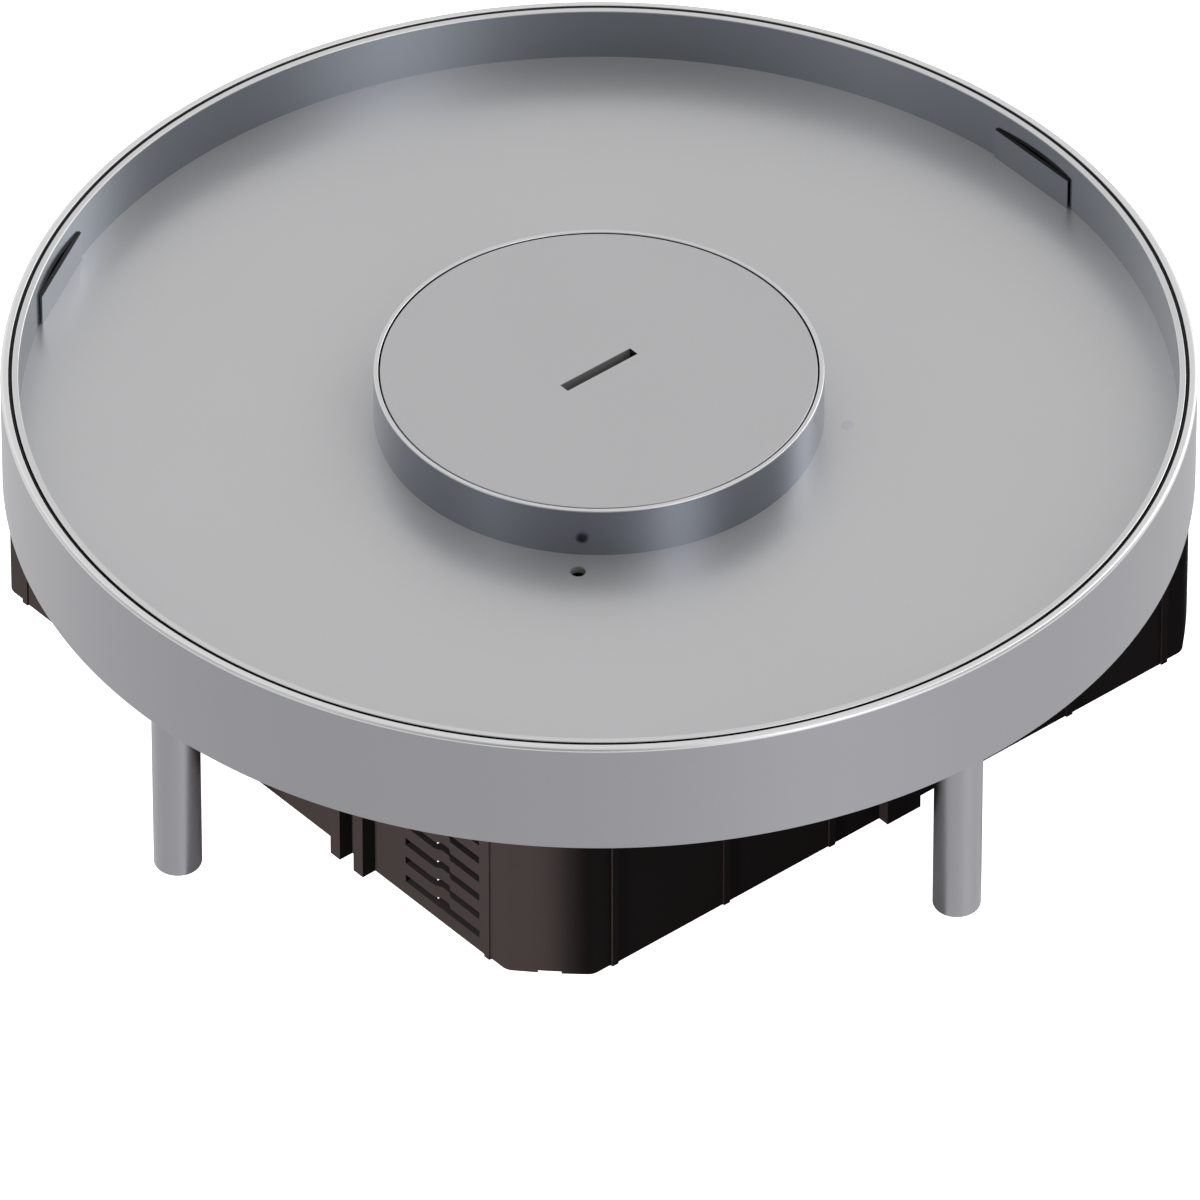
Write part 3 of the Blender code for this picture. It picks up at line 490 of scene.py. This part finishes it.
def trimmed_square(half, corner_r, step_in=0.0, fillet=0.0):
    """Square outline with trimmed corners; corner pieces sit back by step_in, fillet rounds their edges."""
    near = half - step_in
    far = math.sqrt(corner_r ** 2 - near ** 2)
    bulge = (near + far) / 2.0 + 0.3
    points = []
    for quarter in range(4):
        turn = math.radians(90.0 * quarter)
        c, s = math.cos(turn), math.sin(turn)
        run = []
        if step_in > 0.0:
            run += [(near, -SEAM_AT - 0.2, 0.0), (half, -SEAM_AT + 0.1, 0.0),
                    (half, SEAM_AT - 0.1, 0.0), (near, SEAM_AT + 0.2, 0.0)]
        run += [(near, far, fillet), (bulge, bulge, 30.0 * fillet), (far, near, fillet)]
        points += [(x * c - y * s, x * s + y * c, rad) for x, y, rad in run]
    return filleted(points, 6)


def shell(levels):
    """Closed skin through outlines with the same number of points, each at its height."""
    bm = bmesh.new()
    rings = [[bm.verts.new((x * MM, y * MM, z * MM)) for x, y in outline] for outline, z in levels]
    for k in range(len(rings)):
        a, b = rings[k], rings[(k + 1) % len(rings)]
        for i in range(len(a)):
            j = (i + 1) % len(a)
            bm.faces.new((a[i], a[j], b[j], b[i]))
    bmesh.ops.recalc_face_normals(bm, faces=bm.faces)
    return bm


def box_tube(outer, inner, z_low, z_high):
    """Wall between two outlines, open at top and bottom."""
    return shell([(outer, z_high), (inner, z_high), (inner, z_low), (outer, z_low)])


def along(sign, a, b):
    """The range a to b, mirrored when sign is -1."""
    return sorted((sign * a, sign * b))


carrier = piece("carrier_frame_fine", box_tube(
    trimmed_square(HALF, CORNER_R, step_in=SEAM_STEP, fillet=CORNER_FILLET),
    trimmed_square(HALF - WALL, NECK_R - WALL, step_in=0.1, fillet=CORNER_FILLET),
    Z_LOW, Z_BOX), [BLACK, SLOT_FLOOR_PAINTED_LIGHT])
soften(carrier, 0.22, 50.0)
neck = box_tube(trimmed_square(NECK_HALF, NECK_R, fillet=CORNER_FILLET),
                trimmed_square(HALF - WALL + 0.05, NECK_R - WALL, fillet=CORNER_FILLET),
                Z_BOX - 3.0, Z_NECK)
boolean(carrier, neck, "UNION")

extra = bmesh.new()
X_BITE = -HALF + BITE
for turn in (0.0, 180.0):
    upright = []                               # posts, ribs and guide: x from, x to, y from, y to
    for near, far in POSTS:
        for sign in (1.0, -1.0):
            upright.append((-HALF - POST_DEPTH, X_BITE, *along(sign, near, far)))
    for sign in (1.0, -1.0):
        upright.append((-HALF - RIB_DEPTH, X_BITE, sign * SEAM_RIB - RIB_HALF, sign * SEAM_RIB + RIB_HALF))
    for at in RIBS:
        upright.append((at - RIB_HALF, at + RIB_HALF, -HALF - RIB_DEPTH, X_BITE))
    upright.append((GUIDE_FROM, GUIDE_TO, -HALF - GUIDE_DEPTH, X_BITE))
    for x0, x1, y0, y1 in upright:
        add_to(extra, turned(block(x0, x1, y0, y1, Z_LOW + 0.1, Z_BOX - 0.1), turn))
    add_to(extra, turned(block(-86.0, 86.0, X_BITE, -HALF + WALL + 2.6, LEDGE_LOW, LEDGE_TOP), turn))
    add_to(extra, turned(block(X_BITE, HALF - BITE, -37.95, -35.55, BAR_LOW, LEDGE_TOP), turn))
boolean(carrier, extra, "UNION")

slots = bmesh.new()
for side, sign in QUARTERS:
    for row in range(LOUVRE_ROWS):
        mid = level(LOUVRE_LOW - LOUVRE_PITCH * row)
        x0, x1 = along(side, HALF - WALL - 1.0, HALF + 1.0)
        y0, y1 = along(sign, LOUVRE_FROM, LOUVRE_TO)
        add_to(slots, block(x0, x1, y0, y1, mid - LOUVRE_HALF, mid + LOUVRE_HALF))
boolean(carrier, slots)
# painted light: the slots' upward faces in the wall get the lighter black
paint_faces(carrier, 1, lambda c, n: (abs(c.x) > HALF - WALL and LOUVRE_FROM < abs(c.y) < LOUVRE_TO
                                      and n.z > 0.9 and c.z < Z_BOX - 1.0))

notches = bmesh.new()
for k in range(4):
    notch = block(140.0, 156.0, -3.0, 3.0, Z_LOW - 1.0, Z_LOW + 0.8)
    add_to(notches, turned(notch, 45.0 + 90.0 * k))
boolean(carrier, notches)

FLUTE = [(HALF - 1.0, 73.2), (HALF - 1.0, 76.0), (HALF + 1.0, 79.4), (HALF + 1.0, 69.8)]
flutes, grooves = bmesh.new(), bmesh.new()
for side, sign in QUARTERS:
    add_to(flutes, prism([(side * x, sign * y) for x, y in FLUTE], level(70.4), Z_BOX - 1.1))
    x0, x1 = along(side, HALF - WALL - 1.0, HALF - WALL + 1.2)
    y0, y1 = along(sign, 68.9, 70.5)
    add_to(grooves, block(x0, x1, y0, y1, level(72.0), Z_BOX - 2.1))
boolean(carrier, flutes)
boolean(carrier, grooves)
place(carrier, "frame", "carrier_frame", "carrier_frame", sharp=48.0)


def round_corner_shading(obj, reach):
    """Let the corner pieces' shading turn evenly from one wall to the next."""
    mesh = obj.data
    normals = [Vector(c.vector) for c in mesh.corner_normals]
    for poly in mesh.polygons:
        c = poly.center / MM
        at_corner = min(abs(c.x), abs(c.y)) >= HALF - reach and max(abs(c.x), abs(c.y)) <= HALF + 1.0
        faces_out = c.x * poly.normal.x + c.y * poly.normal.y > 0.5 * c.xy.length
        if abs(poly.normal.z) > 0.1 or not at_corner or not faces_out:
            continue
        for loop in poly.loop_indices:
            p = mesh.vertices[mesh.loops[loop].vertex_index].co / MM
            share = min(1.0, max(0.0, (abs(p.y) - abs(p.x) + 0.6 * reach) / (1.35 * reach)))
            angle = share * share * (3.0 - 2.0 * share) * math.pi / 2.0
            normals[loop] = Vector((math.copysign(math.cos(angle), p.x),
                                    math.copysign(math.sin(angle), p.y), 0.0))
    mesh.normals_split_custom_set(normals)


round_corner_shading(carrier, HALF - SEAM_AT)

# ------------------------------------------------------------------ CAD nodes that keep their shape
FINISH = {
    "leg_bracket": ZINC, "leg_spindle": ZINC, "carrier_screw": ZINC, "cover_screw": ZINC,
    "device_cup": GREY, "cup_cover": GREY, "cap_oring": RUBBER, "lock_ring": GREY,
}
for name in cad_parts:
    obj = bpy.data.objects.get(name)
    if obj is None or obj.type != "MESH":
        continue
    for stem, mat in FINISH.items():
        if name.startswith(stem):
            for slot in obj.material_slots:
                slot.material = mat

# ------------------------------------------------------------------ camera
scene = bpy.context.scene
CAMERA_BEARING = 40.3      # degrees from +Y, clockwise
AZ, EL = math.radians(CAMERA_BEARING), math.radians(39.359)
DIST = 5.3
forward = Vector((math.cos(EL) * math.sin(AZ), math.cos(EL) * math.cos(AZ), -math.sin(EL)))
right = Vector((math.cos(AZ), -math.sin(AZ), 0.0))
upward = right.cross(forward)
AIM = Vector((0.0, 0.0, TOP * MM))
SHIFT_RIGHT, SHIFT_UP = -0.0002756, 0.0595866      # where the ring centre sits in the view, metres
cam_data = bpy.data.cameras.new("camera")
cam_data.sensor_width = 36.0
cam_data.lens = 622.389
cam_data.clip_start, cam_data.clip_end = 0.5, 60.0
cam_data.dof.use_dof = False
camera = bpy.data.objects.new("camera", cam_data)
camera.location = AIM - (right * SHIFT_RIGHT + upward * SHIFT_UP + forward * DIST)
camera.rotation_euler = Matrix((right, upward, -forward)).transposed().to_euler()
scene.collection.objects.link(camera)
scene.camera = camera

# ------------------------------------------------------------------ floor, world and lights
floor_mat, _, floor_bsdf = graph("floor_pale", (0.9, 0.9, 0.9), 0.9, spec=0.0)
floor_bsdf.inputs["Emission Color"].default_value = (1.0, 1.0, 1.0, 1.0)
floor_bsdf.inputs["Emission Strength"].default_value = 1.0
bm = bmesh.new()
bmesh.ops.create_grid(bm, x_segments=1, y_segments=1, size=30.0)
floor = piece("floor", bm, floor_mat)
floor.location.z = -0.0005
floor.visible_diffuse = False
floor.visible_glossy = False

# pale card under the object, seen only in reflections: it takes the object's real shadow, and its grey, darker
# than the floor, is painted shadow
shade = bmesh.new()
bmesh.ops.create_circle(shade, cap_ends=True, segments=96, radius=0.143)
card_mat, _, _ = graph("floor_shade", (0.50, 0.50, 0.50), 0.9, spec=0.0)
card = piece("floor_shade", shade, card_mat)
card.location.z = -0.0002
card.visible_camera = False

# brightness of the room by bearing from the camera's own direction (degrees, left positive)
SKY = [(0.0, 0.80), (12.0, 0.85), (32.0, 1.25), (50.0, 0.95), (70.0, 0.65), (90.0, 0.50), (108.0, 0.50),
       (123.0, 0.95), (145.0, 0.45), (160.0, 0.25), (180.0, 0.25), (-166.0, 0.35), (-152.0, 1.0),
       (-140.0, 2.9), (-124.0, 1.1), (-112.0, 0.30), (-100.0, 0.40), (-85.0, 0.50), (-72.0, 0.30),
       (-60.0, 2.0), (-51.0, 3.6), (-42.0, 2.0), (-30.0, 1.0), (-14.0, 0.80)]
GROUND = [(0.0, 0.85), (42.0, 1.0), (80.0, 0.85), (130.0, 0.80), (180.0, 0.86), (-155.0, 0.95), (-138.0, 1.13),
          (-118.0, 1.02), (-90.0, 0.93), (-62.0, 0.96), (-42.0, 0.88)]
RAMP_TOP = 4.0             # a colour ramp holds 0 to 1, so the brightness is stored as a share of this

world = bpy.data.worlds.new("studio")
scene.world = world
world.use_nodes = True
wt = world.node_tree
background = wt.nodes["Background"]
wcoord = add_node(wt, "ShaderNodeTexCoord")
wsplit = add_node(wt, "ShaderNodeSeparateXYZ")
wt.links.new(wcoord.outputs["Generated"], wsplit.inputs[0])
bearing = add_node(wt, "ShaderNodeMath", operation="ARCTAN2")
wt.links.new(wsplit.outputs["Y"], bearing.inputs[0])
wt.links.new(wsplit.outputs["X"], bearing.inputs[1])
around = add_node(wt, "ShaderNodeMapRange")
around.inputs["From Min"].default_value, around.inputs["From Max"].default_value = -math.pi, math.pi
wt.links.new(bearing.outputs[0], around.inputs["Value"])


def bearing_ramp(stops):
    """Brightness by compass bearing (degrees from +X); the first and last stops meet behind -X."""
    node = add_node(wt, "ShaderNodeValToRGB")
    node.color_ramp.interpolation = "B_SPLINE"
    wt.links.new(around.outputs["Result"], node.inputs["Fac"])
    stops = sorted(((a + 180.0) % 360.0 / 360.0, v) for a, v in stops)
    ends = (stops[0][1] + stops[-1][1]) / 2.0
    stops = [(0.0, ends)] + stops + [(1.0, ends)]
    elements = node.color_ramp.elements
    while len(elements) < len(stops):
        elements.new(0.5)
    for e, (at, value) in zip(elements, stops):
        e.position, e.color = at, (value / RAMP_TOP, value / RAMP_TOP, value / RAMP_TOP * 1.01, 1.0)
    scaled = add_node(wt, "ShaderNodeVectorMath", operation="SCALE")
    scaled.inputs["Scale"].default_value = RAMP_TOP
    wt.links.new(node.outputs["Color"], scaled.inputs[0])
    return scaled.outputs[0]


AHEAD = 90.0 - CAMERA_BEARING        # bearing the camera looks along
sky = bearing_ramp([(AHEAD + a, v) for a, v in SKY])
ground = bearing_ramp([(AHEAD + a, v) for a, v in GROUND])
horizon = add_node(wt, "ShaderNodeMapRange", interpolation_type="SMOOTHSTEP")
horizon.inputs["From Min"].default_value, horizon.inputs["From Max"].default_value = -0.15, 0.15
wt.links.new(wsplit.outputs["Z"], horizon.inputs["Value"])
zenith = add_node(wt, "ShaderNodeMapRange", interpolation_type="SMOOTHSTEP")
zenith.inputs["From Min"].default_value, zenith.inputs["From Max"].default_value = 0.80, 0.97
wt.links.new(wsplit.outputs["Z"], zenith.inputs["Value"])


def world_mix(factor, a, b):
    """Mix of two colours in the world's nodes; a plain number stands for a grey."""
    mix = add_node(wt, "ShaderNodeMix", data_type="RGBA")
    wt.links.new(factor, mix.inputs[0])
    for socket, value in ((mix.inputs[6], a), (mix.inputs[7], b)):
        if isinstance(value, float):
            socket.default_value = (value, value, value, 1.0)
        else:
            wt.links.new(value, socket)
    return mix.outputs[2]


both = world_mix(horizon.outputs["Result"], ground, sky)
wt.links.new(world_mix(zenith.outputs["Result"], both, 0.8), background.inputs["Color"])


# low strip light on the carrier's left wall
light = bpy.data.lights.new("side_light", "AREA")
light.shape, light.size, light.size_y = "RECTANGLE", 1.1, 0.12
light.energy, light.color = 700.0, (1.0, 0.93, 0.92)
side = bpy.data.objects.new("side_light", light)
side.location = (-2.5, 0.0, 0.055)
side.rotation_euler = (Vector((0.0, 0.0, 0.045)) - side.location).to_track_quat("-Z", "Y").to_euler()
side.visible_camera = False
side.visible_glossy = False
scene.collection.objects.link(side)
scene.view_settings.view_transform = "Standard"
